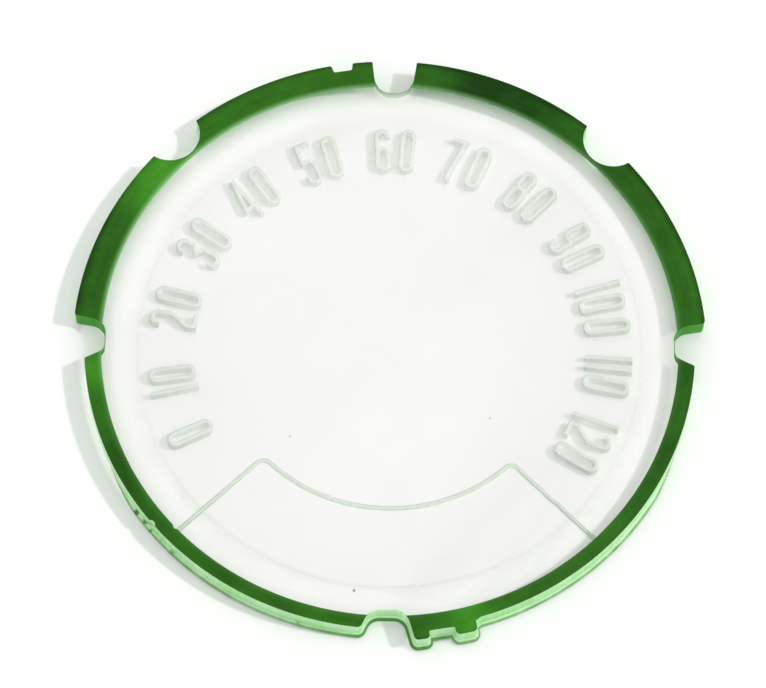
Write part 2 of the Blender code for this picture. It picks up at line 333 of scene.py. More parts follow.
def nicked(loop):
    """The coat's outline with its knocks: points near one are added, then moved into the coat."""
    worn = []
    for (ax, ay), (bx, by) in zip(loop, loop[1:] + loop[:1]):
        close = any(math.dist((ax, ay), polar(r, angle)) < NICK_REACH for angle, r, _, _ in COAT_NICKS)
        count = NICK_POINTS if close else 1
        for i in range(count):
            x, y = ax + (bx - ax) * i / count, ay + (by - ay) * i / count
            radius = math.hypot(x, y)
            for angle, r, width, depth in COAT_NICKS:
                off = math.dist((x, y), polar(r, angle)) / width
                radius -= depth * math.exp(-(off**NICK_STEEPNESS))
            worn.append(polar(radius, degrees_of((x, y))))
    return worn


def apart(points):
    """A closed outline without points that nearly coincide."""
    return [p for p, before in zip(points, points[-1:] + points) if math.dist(p, before) > SAME_POINT]


def directions(points, closed):
    """(direction in, direction out) at each point of a path; an open path's ends have one of each."""
    following = points[1:] + points[:1] if closed else points[1:]
    legs = [unit(bx - ax, by - ay) for (ax, ay), (bx, by) in zip(points, following)]
    if closed:
        return list(zip(legs[-1:] + legs[:-1], legs))
    return list(zip(legs[:1] + legs, legs + legs[-1:]))


def offset_path(points, distance, closed):
    """The path moved to its left by a distance, mitred at its corners."""
    moved = []
    for (x, y), ((ax, ay), (bx, by)) in zip(points, directions(points, closed)):
        nx, ny = unit(-(ay + by), ax + bx)
        reach = distance / max(SHARPEST_MITRE, ny * ax - nx * ay)
        moved.append((x + nx * reach, y + ny * reach))
    return moved


def digit_strokes(digit):
    """(corners with fillets, closed) for each stroke of a digit, about its middle."""
    w, h = (NUMERAL_W - STROKE) / 2, (NUMERAL_H - STROKE) / 2
    half, mid, lift = STROKE / 2, WAIST, HOOK
    loop = [(-w, -h, w), (w, -h, w), (w, mid, w), (-w, mid, w)]
    hook = [(w, h - lift, 0), (w, h, w), (-w, h, w), (-w, 0, 0)]
    over = [(-w, h - lift, 0), (-w, h, w), (w, h, w)]
    under = [(w, -h, w), (-w, -h, w), (-w, lift - h, 0)]
    two = [(w, mid, TWO_NECK), (-w, lift - h, TWO_HEEL), (-w, -h, 0), (w + half, -h, 0)]
    lobe, fillet = THREE_LOBE, THREE_FILLET
    three = [(w, mid + lobe, fillet), (THREE_WAIST_X, mid, 0), (w, mid - lobe, fillet)]
    strokes = {
        "0": [([(-w, -h, w), (w, -h, w), (w, h, w), (-w, h, w)], True)],
        "1": [([(0, -h - half, 0), (0, h + half, 0)], False)],
        "2": [(over + two, False)],
        "3": [(over + three + under, False)],
        "4": [
            ([(w / 2, h, 0), (-w - FOUR_PAST_LEFT, -h / 2, 0), (w + FOUR_PAST_RIGHT, -h / 2, 0)], False),
            ([(w / 2, h + half, 0), (w / 2, -h - half, 0)], False),
        ],
        "5": [([(w + half, h, 0), (-w, h, 0), (-w, mid, 0), (w, mid, w)] + under, False)],
        "6": [(loop, True), (hook, False)],
        "7": [([(-w - half, h, 0), (w, h, 0), (-w / 2, -h - half, 0)], False)],
        "8": [(loop, True), ([(-w, mid, w), (w, mid, w), (w, h, w), (-w, h, w)], True)],
        "9": [([(-x, -y, r) for x, y, r in loop], True), ([(-x, -y, r) for x, y, r in hook], False)],
    }
    return strokes[digit]


def numeral_layout(text, angle):
    """(digit, direction) for each digit of a numeral, set along the numeral circle."""
    pitches = [NARROW_PITCH if digit == "1" else WIDE_PITCH for digit in text]
    along = -sum(pitches) / 2
    for digit, pitch in zip(text, pitches):
        yield digit, angle - math.degrees((along + pitch / 2) / NUMERAL_R)
        along += pitch


def stood_on(points, direction):
    """A digit's points turned so that its top faces the rim, at the numeral circle."""
    cos_d, sin_d = math.cos(math.radians(direction)), math.sin(math.radians(direction))
    raised = [(x, NUMERAL_R + y) for x, y in points]
    return [(y * cos_d + x * sin_d, y * sin_d - x * cos_d) for x, y in raised]


def numeral_paths():
    """(path, closed) for every stroke of every numeral."""
    for text, angle in NUMERALS:
        for digit, direction in numeral_layout(text, angle):
            for corners, closed in digit_strokes(digit):
                yield stood_on(rounded(corners, closed), direction), closed


def window_path():
    """The window line: in along one side, round the arc and out along the other side."""
    first, last = WINDOW_ANGLES
    corners = [polar(WINDOW_OUTER_R, first) + (0.0,), polar(WINDOW_R, first) + (WINDOW_FILLET,)]
    corners += arc(WINDOW_R, first, last, WINDOW_STEP)[1:-1]  # the fillets need the room
    corners += [polar(WINDOW_R, last) + (WINDOW_FILLET,), polar(WINDOW_OUTER_R, last) + (0.0,)]
    return rounded(corners, closed=False)


def collection(name):
    made = bpy.data.collections.new(name)
    bpy.context.scene.collection.children.link(made)
    return made


def build_object(name, mesh_data, home, *materials):
    """An object from a bmesh in millimetres, scaled to metres, with its materials in order."""
    bmesh.ops.recalc_face_normals(mesh_data, faces=mesh_data.faces)
    bmesh.ops.scale(mesh_data, vec=(MM, MM, MM), verts=mesh_data.verts)
    mesh = bpy.data.meshes.new(name)
    mesh_data.to_mesh(mesh)
    mesh_data.free()
    for used in materials:
        mesh.materials.append(used)
    made = bpy.data.objects.new(name, mesh)
    home.objects.link(made)
    return made


def shade(made):
    """Smooth shading, with sharp edges and all flat faces kept crisp."""
    mesh = made.data
    for face in mesh.polygons:
        face.use_smooth = abs(face.normal.z) < FLAT
    mesh.set_sharp_from_angle(angle=math.radians(SHARP))
    mesh.update()


def circle(radius):
    """A circle about the plate's centre, with a point at every degree."""
    return [polar(radius, float(angle)) for angle in range(360)]


def loft(rings, slots):
    """A closed bmesh through rings of equal counts, each (points, height); slots gives the material of the
    first end face, of each band and of the last end face."""
    made = bmesh.new()
    rows = []
    for points, height in rings:
        rows.append([made.verts.new((x, y, height)) for x, y in points])
    count = len(rows[0])
    made.faces.new(rows[0][::-1]).material_index = slots[0]
    for row, above, slot in zip(rows, rows[1:], slots[1:]):
        for i in range(count):
            j = (i + 1) % count
            made.faces.new((row[i], row[j], above[j], above[i])).material_index = slot
    made.faces.new(rows[-1]).material_index = slots[-1]
    return made


def groove_cutter(name, path, closed, width, top, edge, home, surface):
    """A solid swept along a path: straight sides, and a top with rounded edges at a height."""
    half = width / 2
    sides = [(half, -CUT_PAST)] + [(half - inset, top - drop) for inset, drop in edge]
    section = sides + [(-offset, height) for offset, height in reversed(sides)]
    made = bmesh.new()
    rows = []
    for offset, height in section:
        rows.append([made.verts.new((x, y, height)) for x, y in offset_path(path, offset, closed)])
    count = len(path)
    for row, after in zip(rows, rows[1:] + rows[:1]):
        for i in range(count if closed else count - 1):
            j = (i + 1) % count
            made.faces.new((row[i], row[j], after[j], after[i]))
    if not closed:
        made.faces.new([row[0] for row in rows])
        made.faces.new([row[-1] for row in rows][::-1])
    return build_object(name, made, home, surface)


def boolean(target, operation, cutters):
    """Applies one exact Boolean with every solid of a collection."""
    modifier = target.modifiers.new(operation, "BOOLEAN")
    modifier.operation = operation
    modifier.solver = "EXACT"
    modifier.operand_type = "COLLECTION"
    modifier.collection = cutters
    modifier.material_mode = "TRANSFER"
    graph = bpy.context.evaluated_depsgraph_get()
    mesh = bpy.data.meshes.new_from_object(target.evaluated_get(graph))
    target.modifiers.clear()
    old, target.data = target.data, mesh
    bpy.data.meshes.remove(old)


def clear(home):
    """Removes a collection with its objects."""
    for made in list(home.objects):
        bpy.data.objects.remove(made)
    bpy.data.collections.remove(home)


# Materials

ACRYLIC_IOR = 1.49
PANE_TINT = (0.953, 0.954, 0.944)
BOSS_TINT = (0.949, 0.952, 0.940)
PANE_LAMP = (0.95, 0.95, 0.945)  # the share of a lamp's light that goes straight through
SMUDGED = 0.985  # what smudges leave of the tint
SMUDGE_START, SMUDGE_FULL = 0.22, 0.42
MARGIN_LIFTED_TINT = (1.0, 1.0, 0.99)  # painted light: the plate's tint is lifted from the boss's edge outward, to lighten the shade that the coat casts beneath
MARGIN_LIFT = 0.9
MARGIN_START, MARGIN_FULL = 60.0, 63.5
WALL_ROUGHNESS = 0.3
WALL_CLEAR = 0.3
WALL_LAMP = (0.72, 0.70, 0.66)
SCALLOP_LAMP = (0.12, 0.12, 0.11)  # the scallop facing the lamp bends its light away from the floor nearby
SCALLOP_MIDDLE_Z = 3.0
SIDE_NOTCH_ROUGHNESS = 0.45
TOP_NOTCH_CLEAREST = (0.80, 0.95, 0.75)
# painted shade, green like the coat, toward the top notch's front
TOP_NOTCH_SHADED = (0.30, 0.46, 0.25)
TOP_NOTCH_CLEAR = (0.6, 0.25)  # how clear it is without and with the painted shade
TOP_NOTCH_SHADE_START, TOP_NOTCH_SHADE_FULL = 1.6, 2.8  # heights
FOOT_GREEN_X = 2.0  # the foot's dark green is darkest here
FOOT_GREEN_REACH, FOOT_WORN_FROM = 6.0, 24.0
FOOT_PALE_START, FOOT_PALE_FULL = 1.41, 1.50  # heights
FOOT_PALER_BY = 0.08  # how much further down the dark green starts far from the bottom notch
FOOT_ROUGHNESS = 0.4
GROOVE_ROUGHNESS = 0.45
GROOVE_DARKER = 0.93  # the dark grains' share of the groove's colour
GROOVE_TOP = (0.45, 0.12)  # the top's glow sets in between these distances below it
DULL = 0.1  # specular level of the coat and of the side notches' edge
FOOT_DULL = 0.15

NOISE_LOW, NOISE_HIGH = 0.3, 0.7  # where a noise reaches its two ends
SPOT_CORE = 0.5  # the share of a spot's reach that has its full colour

# Noise textures: (scale, detail, roughness)
SMUDGES = (45.0, 5.0, 0.6)
GRIME = (260.0, 4.0, 0.55)
STREAKS = (1.0, 4.0, 0.6)
WALL_DRIFT = (60.0, 2.0, 0.5)
GROOVE_GRAIN = (900.0, 3.0, 0.6)
COAT_CLOUDS = (75.0, 3.0, 0.5)
COAT_MOTTLE = (420.0, 3.0, 0.6)
UNDERSIDE_CLOUDS = (120.0, 3.0, 0.5)
FLOOR_CLOUDS = (6.0, 2.0, 0.5)

# How finely the streaks run round the rim: (along it, across it)
WALL_RUN = (900.0, 60.0)
FOOT_RUN = (300.0, 60.0)
COAT_RUN = (60.0, 420.0)

# Colour ramps: (position, (red, green, blue))
WALL_PALE = ((0.32, (0.44, 0.79, 0.38)), (0.7, (0.63, 0.91, 0.57)))
WALL_GREENER = ((0.4, (0.74, 0.94, 0.70)), (0.62, (1.0, 1.0, 1.0)))
# painted reflection: the coat's dark green as seen through the side notches' edge
SIDE_NOTCH_REFLECTED_GREEN = ((0.32, (0.050, 0.25, 0.022)), (0.7, (0.085, 0.36, 0.045)))
# the foot's dark green: partly overspray, partly painted reflection of the coat
FOOT_GREEN = ((0.3, (0.040, 0.18, 0.028)), (0.7, (0.085, 0.28, 0.055)))
FOOT_WORN = ((0.3, (0.14, 0.31, 0.11)), (0.7, (0.30, 0.47, 0.26)))
FOOT_PALE = ((0.32, (0.40, 0.72, 0.34)), (0.7, (0.55, 0.84, 0.50)))
COAT_GREEN = (
    (0.08, (0.005, 0.038, 0.001)), (0.36, (0.022, 0.118, 0.006)),
    (0.62, (0.041, 0.220, 0.011)), (0.85, (0.071, 0.318, 0.024)),
)
# painted light: the underside is drawn a brighter green than the coat, for light bounced and piped onto it
UNDERSIDE_GREEN = ((0.3, (0.03, 0.34, 0.02)), (0.7, (0.05, 0.44, 0.035)))
FLOOR_WHITE = ((0.3, (0.88, 0.88, 0.88)), (0.7, (0.9, 0.9, 0.9)))

# Grooves: (name, colour, share of a lamp's light let through, depth, clear share, top's painted glow,
# sides' painted glow)
NUMERAL_FROST = (
    "numeral_frosted_acrylic", (0.90, 0.915, 0.89), (0.58, 0.59, 0.565), NUMERAL_DEPTH, 0.2,
    (0.015, 0.015, 0.015), (0.045, 0.046, 0.044),
)
WINDOW_FROST = (
    "window_line_frosted_acrylic", (0.80, 0.84, 0.79), (0.86, 0.88, 0.85), WINDOW_DEPTH, 0.25,
    (0.01, 0.012, 0.01), (0.16, 0.168, 0.153),
)

# Knocks and dirt at the lower left of the rim, and specks on the face: (place, reach, amount, colour)
WALL_SPOTS = (
    ((-59.2, -42.4, 1.2), 1.0, 0.85, (0.02, 0.09, 0.015)),
    ((-57.2, -44.8, 1.3), 0.9, 0.85, (0.03, 0.15, 0.02)),
    ((-56.4, -45.7, 3.0), 0.9, 0.8, (0.03, 0.15, 0.02)),
    ((-55.7, -46.6, 4.6), 0.8, 0.8, (0.03, 0.13, 0.02)),
    ((-55.8, -47.0, 1.1), 0.7, 0.75, (0.06, 0.17, 0.05)),
    ((-57.0, -45.0, 4.4), 1.0, 0.7, (0.26, 0.72, 0.24)),
    ((-53.4, -49.5, 1.0), 0.8, 0.5, (0.08, 0.22, 0.07)),
    ((-50.5, -52.2, 1.0), 1.1, 0.6, (0.07, 0.2, 0.06)),
    ((-20.8, -69.2, 1.0), 0.8, 0.75, (0.03, 0.10, 0.02)),
)
FACE_SPOTS = (
    ((-7.9, -62.9, 6.0), 0.6, 1.0, (0.10, 0.10, 0.09)),
    ((23.9, -19.1, 6.0), 0.45, 0.9, (0.25, 0.26, 0.23)),
    ((-23.5, -24.4, 6.0), 0.45, 0.8, (0.3, 0.3, 0.27)),
)

# Places where the coat is drawn lighter or darker round the rim, as painted sheen and shade: (angle, reach,
# amount)
COAT_SHEEN_PATCHES = (
    (68.0, 13.0, -0.30), (40.0, 14.0, -0.08), (143.0, 8.0, 0.24), (186.0, 4.0, 0.26), (166.0, 9.0, -0.06),
    (207.0, 7.0, -0.08), (285.0, 3.5, 0.24), (338.0, 18.0, -0.1), (112.0, 22.0, 0.03),
)
COAT_BRUSHED, COAT_CLOUDED, COAT_MOTTLED = 0.25, 0.35, 0.12  # how much each noise changes the coat
COAT_OUTER_DARK_WIDTH = 1.6  # the coat is drawn darker along the upper rim's outer edge
COAT_OUTER_DARK = -0.2
COAT_THIN_LIT_WIDTH = 1.5  # and drawn lighter along its inner edge, partly thinner paint and partly painted light, most of all on the side of this angle, where the floor beneath is lit
COAT_THIN_LIT_ANGLE = 143.0
COAT_THIN_LIT = 0.9
COAT_THIN_LIT_COLOUR = (0.24, 0.52, 0.20)
COAT_THIN_LIT_FOCUS = 3.0
COAT_THIN_LIT_ANYWHERE = 0.35  # the lightening's share that is the same all round
COAT_THIN_LIT_LOWER = 0.3  # the lightening's share in the lower half
COAT_THIN_LIT_LOWER_SINE = 0.2  # the halves blend where the angle's sine is within this of 0
COAT_GLOSS = (0.34, 0.5)
COAT_BUMP, COAT_BUMP_DEPTH = 0.2, 0.2
UNDERSIDE_ROUGHNESS = 0.5
PAINTED_GLOW_COLOUR = (0.03, 1.0, 0.02)
COAT_PAINTED_GLOW = 0.05  # painted glow for the light that the coat lets through to its inner side
FLOOR_ROUGHNESS = 0.9


def feed(tree, socket, value):
    """Links a socket to another one, or sets its number, vector or colour."""
    if isinstance(value, bpy.types.NodeSocket):
        tree.links.new(value, socket)
    elif socket.type == "RGBA":
        socket.default_value = (*value, 1.0)
    else:
        socket.default_value = value


def feed_all(tree, made, **inputs):
    """Feeds a node's inputs by name, with underscores for spaces."""
    for name, value in inputs.items():
        feed(tree, made.inputs[name.replace("_", " ")], value)


def node(tree, kind, **inputs):
    made = tree.nodes.new(kind)
    feed_all(tree, made, **inputs)
    return made


def math_node(tree, operation, *values):
    made = tree.nodes.new("ShaderNodeMath")
    made.operation = operation
    for socket, value in zip(made.inputs, values):
        feed(tree, socket, value)
    return made.outputs[0]


def ranged(tree, value, low, high, at_low=0.0, at_high=1.0):
    """A value's way from low to high, turned into a way from at_low to at_high and held outside it."""
    made = node(
        tree, "ShaderNodeMapRange", Value=value, From_Min=low, From_Max=high, To_Min=at_low, To_Max=at_high
    )
    return made.outputs[0]


def ramp(tree, factor, stops):
    """A colour ramp's colour; each stop is (position, (red, green, blue))."""
    made = tree.nodes.new("ShaderNodeValToRGB")
    elements = made.color_ramp.elements
    while len(elements) < len(stops):
        elements.new(0.5)
    for element, (position, colour) in zip(elements, stops):
        element.position = position
        element.color = (*colour, 1.0)
    tree.links.new(factor, made.inputs["Fac"])
    return made.outputs["Color"]


def noise_node(tree, vector, settings):
    scale, detail, roughness = settings
    made = node(tree, "ShaderNodeTexNoise", Vector=vector, Scale=scale, Detail=detail, Roughness=roughness)
    return made.outputs["Fac"]


def mix_colour(tree, factor, first, second, blend="MIX"):
    made = tree.nodes.new("ShaderNodeMix")
    made.data_type = "RGBA"
    made.blend_type = blend
    for socket, value in zip((made.inputs[0], made.inputs[6], made.inputs[7]), (factor, first, second)):
        feed(tree, socket, value)
    return made.outputs[2]


def new_material(name):
    made = bpy.data.materials.new(name)
    made.use_nodes = True
    tree = made.node_tree
    shader = tree.nodes["Principled BSDF"]
    place = tree.nodes.new("ShaderNodeTexCoord").outputs["Object"]
    return made, tree, shader, place


def let_lamps_through(tree, shader, share):
    """Lets this share of the light from lamps straight through, which a bending surface would block."""
    path = tree.nodes.new("ShaderNodeLightPath")
    clear_shader = node(tree, "ShaderNodeBsdfTransparent", Color=share)
    mix = tree.nodes.new("ShaderNodeMixShader")
    tree.links.new(path.outputs["Is Shadow Ray"], mix.inputs[0])
    tree.links.new(shader.outputs[0], mix.inputs[1])
    tree.links.new(clear_shader.outputs[0], mix.inputs[2])
    tree.links.new(mix.outputs[0], tree.nodes["Material Output"].inputs["Surface"])


def with_spots(tree, place, colour, spots):
    """A colour with soft round spots: ((x, y, z) in millimetres, reach, amount, spot's colour)."""
    for centre, reach, amount, spot_colour in spots:
        apart_by = tree.nodes.new("ShaderNodeVectorMath")
        apart_by.operation = "DISTANCE"
        tree.links.new(place, apart_by.inputs[0])
        apart_by.inputs[1].default_value = [c * MM for c in centre]
        distance = apart_by.outputs["Value"]
        share = ranged(tree, distance, SPOT_CORE * reach * MM, reach * MM, amount, 0.0)
        colour = mix_colour(tree, share, colour, spot_colour)
    return colour


def height_of(tree, place):
    return node(tree, "ShaderNodeSeparateXYZ", Vector=place).outputs["Z"]


def rim_place(tree, place):
    """(angle, radius, height) of a place about the plate's centre, in radians and metres."""
    x, y, z = node(tree, "ShaderNodeSeparateXYZ", Vector=place).outputs
    squares = [math_node(tree, "MULTIPLY", part, part) for part in (x, y)]
    radius = math_node(tree, "POWER", math_node(tree, "ADD", *squares), 0.5)
    return math_node(tree, "ARCTAN2", y, x), radius, z


def streaks_round(tree, place, run):
    """Noise drawn out round the rim."""
    along, across = run
    angle, radius, height = rim_place(tree, place)
    around = node(
        tree, "ShaderNodeCombineXYZ",
        X=math_node(tree, "MULTIPLY", angle, along * RIM_R * MM),
        Y=math_node(tree, "MULTIPLY", radius, across),
        Z=math_node(tree, "MULTIPLY", height, across),
    )
    return noise_node(tree, around.outputs[0], STREAKS)


def acrylic(name, tint, lamp):
    """Clear moulded acrylic with faint handling smudges and specks, and a painted lift of light toward the
    rim.
    """
    made, tree, shader, place = new_material(name)
    smudge = noise_node(tree, place, SMUDGES)
    haze = math_node(tree, "MULTIPLY", smudge, noise_node(tree, place, GRIME))
    worn = tuple(SMUDGED * c for c in tint)
    _, radius, _ = rim_place(tree, place)
    # painted light: the tint is lifted toward the rim, against the coat's shade
    margin = ranged(tree, radius, MARGIN_START * MM, MARGIN_FULL * MM, 0.0, MARGIN_LIFT)
    colour = ramp(tree, haze, ((SMUDGE_START, tint), (SMUDGE_FULL, worn)))
    colour = mix_colour(tree, margin, colour, MARGIN_LIFTED_TINT)
    colour = with_spots(tree, place, colour, FACE_SPOTS)
    feed_all(tree, shader, Base_Color=colour, Roughness=0.0, IOR=ACRYLIC_IOR, Transmission_Weight=1.0)
    let_lamps_through(tree, shader, lamp)
    return made


def wall_acrylic():
    """The plate's moulded edge: frosted, glowing pale green."""
    made, tree, shader, place = new_material("lens_edge_acrylic")
    pale = ramp(tree, streaks_round(tree, place, WALL_RUN), WALL_PALE)
    greener = ramp(tree, noise_node(tree, place, WALL_DRIFT), WALL_GREENER)
    pale = mix_colour(tree, 1.0, pale, greener, "MULTIPLY")
    colour = with_spots(tree, place, pale, WALL_SPOTS)
    feed_all(tree, shader, Base_Color=colour, Roughness=WALL_ROUGHNESS, IOR=ACRYLIC_IOR)
    feed_all(tree, shader, Transmission_Weight=WALL_CLEAR)
    scallop_centre = (*polar(SCALLOP_CENTRE_R, SCALLOP_ANGLES[0]), SCALLOP_MIDDLE_Z)
    turned_away = ((scallop_centre, 2 * SCALLOP_R, 1.0, SCALLOP_LAMP),)
    let_lamps_through(tree, shader, with_spots(tree, place, WALL_LAMP, turned_away))
    return made


def side_notch_acrylic():
    """The plate's edge in the two side notches: drawn green as a painted reflection of the coat above it.
    """
    made, tree, shader, place = new_material("lens_edge_painted_reflection")
    colour = ramp(tree, streaks_round(tree, place, WALL_RUN), SIDE_NOTCH_REFLECTED_GREEN)
    feed_all(tree, shader, Base_Color=colour, Roughness=SIDE_NOTCH_ROUGHNESS, Specular_IOR_Level=DULL)
    let_lamps_through(tree, shader, WALL_LAMP)
    return made


def top_notch_acrylic():
    """The plate's edge in the top notch: nearly clear, with painted shade toward its front, green like the
    coat above.
    """
    made, tree, shader, place = new_material("lens_edge_top_notch")
    height = height_of(tree, place)
    share = ranged(tree, height, TOP_NOTCH_SHADE_START * MM, TOP_NOTCH_SHADE_FULL * MM)
    colour = mix_colour(tree, share, TOP_NOTCH_CLEAREST, TOP_NOTCH_SHADED)
    clear_share = ranged(tree, share, 0.0, 1.0, *TOP_NOTCH_CLEAR)
    feed_all(tree, shader, Base_Color=colour, Roughness=WALL_ROUGHNESS, IOR=ACRYLIC_IOR)
    feed_all(tree, shader, Transmission_Weight=clear_share)
    let_lamps_through(tree, shader, WALL_LAMP)
    return made


def foot_acrylic():
    """The foot: the same acrylic drawn dark green, partly the coat's overspray and partly a painted
    reflection of the coat, darkest near the bottom notch.
    """
    made, tree, shader, place = new_material("lens_foot_acrylic")
    streaks = streaks_round(tree, place, FOOT_RUN)
    x = node(tree, "ShaderNodeSeparateXYZ", Vector=place).outputs["X"]
    far = math_node(tree, "ABSOLUTE", math_node(tree, "SUBTRACT", x, FOOT_GREEN_X * MM))
    share = ranged(tree, far, FOOT_GREEN_REACH * MM, FOOT_WORN_FROM * MM)
    colour = mix_colour(tree, share, ramp(tree, streaks, FOOT_GREEN), ramp(tree, streaks, FOOT_WORN))
    height = math_node(tree, "MULTIPLY_ADD", share, FOOT_PALER_BY * MM, height_of(tree, place))
    top = ranged(tree, height, FOOT_PALE_START * MM, FOOT_PALE_FULL * MM)
    colour = mix_colour(tree, top, colour, ramp(tree, streaks, FOOT_PALE))
    colour = with_spots(tree, place, colour, WALL_SPOTS)
    feed_all(tree, shader, Base_Color=colour, Roughness=FOOT_ROUGHNESS, Specular_IOR_Level=FOOT_DULL)
    let_lamps_through(tree, shader, WALL_LAMP)
    return made


def groove_acrylic(name, colour, lamp, depth, clear_share, glow, side_glow):
    """Frosted moulded groove, with a painted glow that stands in for the light it scatters inside the
    acrylic: one glow for the groove's top, at its depth, and a brighter one that lifts the shade on its
    sides."""
    made, tree, shader, place = new_material(name)
    darker = tuple(GROOVE_DARKER * c for c in colour)
    frost = ramp(tree, noise_node(tree, place, GROOVE_GRAIN), ((NOISE_LOW, darker), (NOISE_HIGH, colour)))
    low, high = [(depth - below) * MM for below in GROOVE_TOP]
    glowing = mix_colour(tree, ranged(tree, height_of(tree, place), low, high), side_glow, glow)
    feed_all(tree, shader, Base_Color=frost, Roughness=GROOVE_ROUGHNESS, IOR=ACRYLIC_IOR)
    feed_all(tree, shader, Transmission_Weight=clear_share, Emission_Color=glowing, Emission_Strength=1.0)
    let_lamps_through(tree, shader, lamp)
    return made


def sheen_level(tree, angle):
    """How light the coat is drawn round the rim: the sum of its patches of painted sheen and shade."""
    level = 0.0
    degrees = math_node(tree, "MULTIPLY", angle, 180 / math.pi)
    turned = math_node(tree, "MODULO", math_node(tree, "ADD", degrees, 360.0), 360.0)
    for centre, reach, amount in COAT_SHEEN_PATCHES:
        off = math_node(tree, "MULTIPLY", math_node(tree, "SUBTRACT", turned, centre), 1 / reach)
        squared = math_node(tree, "MULTIPLY", off, off)
        bell = math_node(tree, "EXPONENT", math_node(tree, "MULTIPLY", squared, -1.0))
        level = math_node(tree, "MULTIPLY_ADD", bell, amount, level)
    return level


def thin_lit_share(tree, angle, radius):
    """How much lighter the coat is drawn near its inner edge: partly thinner paint, partly painted light.
    """
    inner = COAT_INNER_R * MM
    edge = ranged(tree, radius, inner, inner + COAT_THIN_LIT_WIDTH * MM, COAT_THIN_LIT, 0.0)
    edge = math_node(tree, "MULTIPLY", edge, edge)
    facing = math_node(tree, "COSINE", math_node(tree, "SUBTRACT", angle, math.radians(COAT_THIN_LIT_ANGLE)))
    side = math_node(tree, "POWER", math_node(tree, "MULTIPLY_ADD", facing, 0.5, 0.5), COAT_THIN_LIT_FOCUS)
    side = math_node(tree, "MULTIPLY_ADD", side, 1.0 - COAT_THIN_LIT_ANYWHERE, COAT_THIN_LIT_ANYWHERE)
    thin = math_node(tree, "MULTIPLY", edge, side)
    upward = math_node(tree, "SINE", angle)
    upper = ranged(tree, upward, -COAT_THIN_LIT_LOWER_SINE, COAT_THIN_LIT_LOWER_SINE, COAT_THIN_LIT_LOWER, 1.0)
    return math_node(tree, "MULTIPLY", thin, upper)


def coat_paint():
    """Green sprayed coat: mottled, faintly brushed along the rim, satin, thinning out at its inner edge;
    painted sheen and shade round the rim, and painted light along its inner edge.
    """
    made, tree, shader, place = new_material("green_coat_paint")
    angle, radius, _ = rim_place(tree, place)
    brushed = streaks_round(tree, place, COAT_RUN)
    mottle = noise_node(tree, place, COAT_MOTTLE)
    clouds = math_node(tree, "MULTIPLY", noise_node(tree, place, COAT_CLOUDS), COAT_CLOUDED)
    level = math_node(tree, "MULTIPLY_ADD", brushed, COAT_BRUSHED, clouds)
    level = math_node(tree, "MULTIPLY_ADD", mottle, COAT_MOTTLED, level)
    level = math_node(tree, "ADD", level, sheen_level(tree, angle))
    outer_dark = ranged(tree, radius, (RIM_R - COAT_OUTER_DARK_WIDTH) * MM, RIM_R * MM, 0.0, COAT_OUTER_DARK)
    body = ramp(tree, math_node(tree, "ADD", level, outer_dark), COAT_GREEN)
    colour = mix_colour(tree, thin_lit_share(tree, angle, radius), body, COAT_THIN_LIT_COLOUR)
    gloss = ranged(tree, brushed, NOISE_LOW, NOISE_HIGH, *COAT_GLOSS)
    bump = node(tree, "ShaderNodeBump", Height=mottle, Strength=COAT_BUMP, Distance=COAT_BUMP_DEPTH * MM)
    feed_all(tree, shader, Base_Color=colour, Roughness=gloss, Specular_IOR_Level=DULL)
    feed_all(tree, shader, Normal=bump.outputs[0])
    return made


def coat_underside():
    """The coat seen from inside the plate: drawn brighter than its outside and glowing, as painted light
    for the lamp's light that reaches it through the edge and the coat.
    """
    made, tree, shader, place = new_material("green_coat_underside")
    colour = ramp(tree, noise_node(tree, place, UNDERSIDE_CLOUDS), UNDERSIDE_GREEN)
    feed_all(tree, shader, Base_Color=colour, Roughness=UNDERSIDE_ROUGHNESS, Specular_IOR_Level=DULL)
    feed_all(tree, shader, Emission_Color=PAINTED_GLOW_COLOUR, Emission_Strength=COAT_PAINTED_GLOW)
    return made


def floor_paint():
    made, tree, shader, place = new_material("plain_floor")
    colour = ramp(tree, noise_node(tree, place, FLOOR_CLOUDS), FLOOR_WHITE)
    feed_all(tree, shader, Base_Color=colour, Roughness=FLOOR_ROUGHNESS)
    return made


# Pieces


def wall_kind(x, y, z, foot_top):
    """The finish of the plate's edge at a place."""
    if z < foot_top and foot_width(x, y) > 0.0:
        return FOOT
    if y > NOTCHES_FROM and abs(x) < NOTCH_HALF_WIDTH:
        return TOP_NOTCH
    if abs(x) > NOTCHES_FROM and abs(y) < NOTCH_HALF_WIDTH:
        return SIDE_NOTCH
    return WALL


def plate_rings(back, front):
    """Rings up the plate's rim: rounded back edge, foot, step to the rim, rounded front edge."""
    outline, spread = plate_outline(), foot_outline()
    low = back + BOSS_H
    rings = [(offset_path(spread, inset, True), low + drop) for inset, drop in reversed(EDGE_ROUND)]
    rings += [(between(outline, spread, share), back + height) for share, height in FOOT_PROFILE]
    return rings + [(offset_path(outline, inset, True), front - drop) for inset, drop in EDGE_ROUND]


def add_boss(plate, back, boss):
    """The low round step on the plate's back, with an eased edge."""
    rings = [(circle(BOSS_R - inset), back + rise) for inset, rise in BOSS_EASE]
    rings.append((circle(BOSS_R), back + 2 * BOSS_H))
    joined = collection("joined")
    build_object("boss", loft(rings, [CLEAR] * (len(rings) + 1)), joined, boss)
    boolean(plate, "UNION", joined)
    clear(joined)


def cut_grooves(plate, back, groove, line):
    """The numerals and the window line, sunk into the plate's back."""
    cutters = collection("cutters")
    top = back + NUMERAL_DEPTH
    for i, (path, closed) in enumerate(numeral_paths()):
        groove_cutter(f"stroke_{i}", path, closed, STROKE, top, GROOVE_ROUND, cutters, groove)
    top = back + WINDOW_DEPTH
    groove_cutter("window", window_path(), False, WINDOW_LINE, top, WINDOW_ROUND, cutters, line)
    boolean(plate, "DIFFERENCE", cutters)
    clear(cutters)


